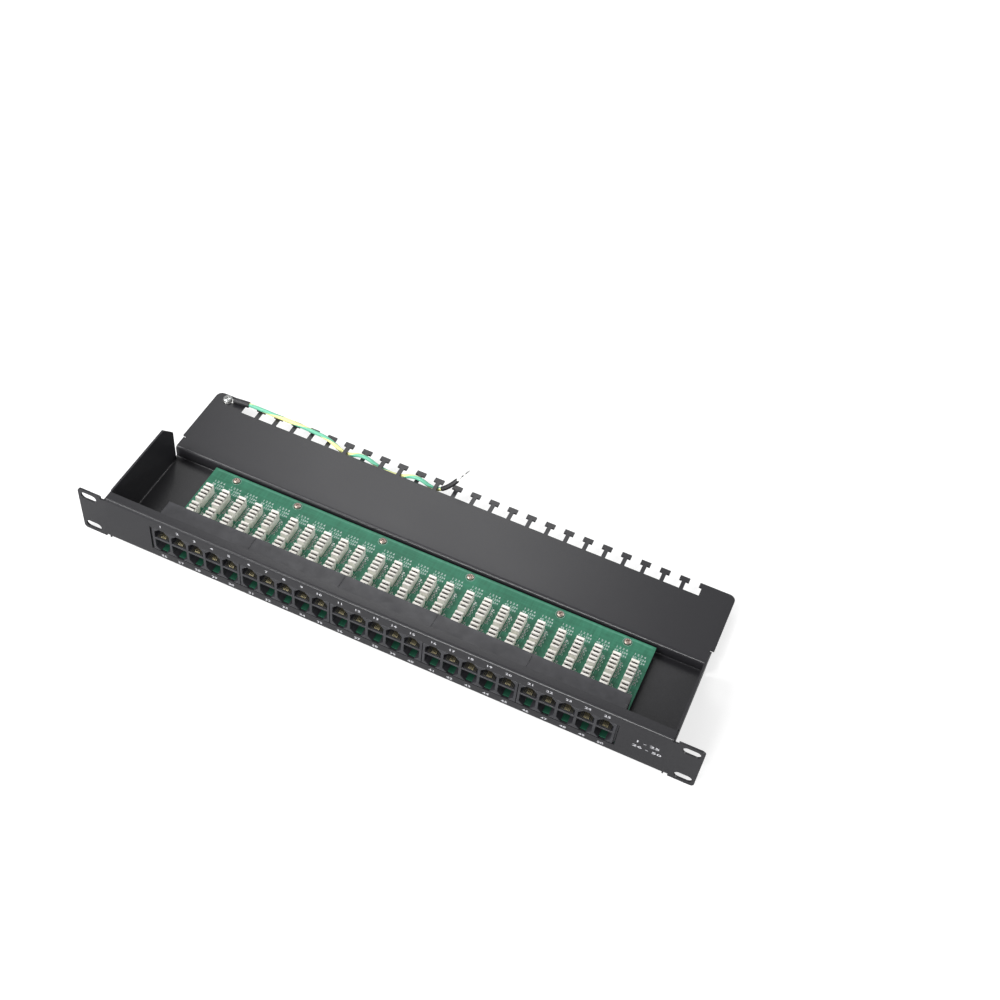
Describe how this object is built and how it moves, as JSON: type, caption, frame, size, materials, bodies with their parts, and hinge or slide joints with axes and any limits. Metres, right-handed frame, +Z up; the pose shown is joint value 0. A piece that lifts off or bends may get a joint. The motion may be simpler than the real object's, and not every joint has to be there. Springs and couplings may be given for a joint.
{
  "type": "telephone patch panel",
  "caption": "Rack panel of folded steel with two rows of sockets in front, punch-down blocks on a board behind them, and a rear comb for cables with an earth lead.",
  "frame": {"origin": "centre of the four rack slots, on the ears' rear face, which meets the rack's rails", "axes": "+X to the right as seen from the front, +Y to the rear, +Z up"},
  "size_m": [0.4826, 0.1647, 0.044],
  "materials": {
    "chassis": "fine satin powder coat",
    "board": "solder mask over glass laminate",
    "standoffs": "bright zinc",
    "screws": "bright nickel",
    "housings": "moulded",
    "contacts": "gold flash",
    "blocks": "moulded",
    "earth_fixing": "bright zinc",
    "lugs": "tinned copper",
    "sleeves": "shrunk tube",
    "wire": "extruded"
  },
  "bodies": {
    "root": {"board_screws": "screws", "board_standoffs": "standoffs", "chassis": "chassis", "circuit_board": "board", "earth_lug_fixed": "lugs", "earth_lug_free": "lugs", "earth_nut": "earth_fixing", "earth_screw": "earth_fixing", "earth_sleeve_fixed": "sleeves", "earth_sleeve_free": "sleeves", "earth_wire": "wire", "idc_pair_01": "blocks", "idc_pair_02": "blocks", "idc_pair_03": "blocks", "idc_pair_04": "blocks", "idc_pair_05": "blocks", "idc_pair_06": "blocks", "idc_pair_07": "blocks", "idc_pair_08": "blocks", "idc_pair_09": "blocks", "idc_pair_10": "blocks", "idc_pair_11": "blocks", "idc_pair_12": "blocks", "idc_pair_13": "blocks", "idc_pair_14": "blocks", "idc_pair_15": "blocks", "idc_pair_16": "blocks", "idc_pair_17": "blocks", "idc_pair_18": "blocks", "idc_pair_19": "blocks", "idc_pair_20": "blocks", "idc_pair_21": "blocks", "idc_pair_22": "blocks", "idc_pair_23": "blocks", "idc_pair_24": "blocks", "idc_pair_25": "blocks", "jack_block_1": "housings", "jack_block_2": "housings", "jack_block_3": "housings", "jack_block_4": "housings", "jack_block_5": "housings", "jack_contacts_1": "contacts", "jack_contacts_2": "contacts", "jack_contacts_3": "contacts", "jack_contacts_4": "contacts", "jack_contacts_5": "contacts"}
  },
  "joints": []
}
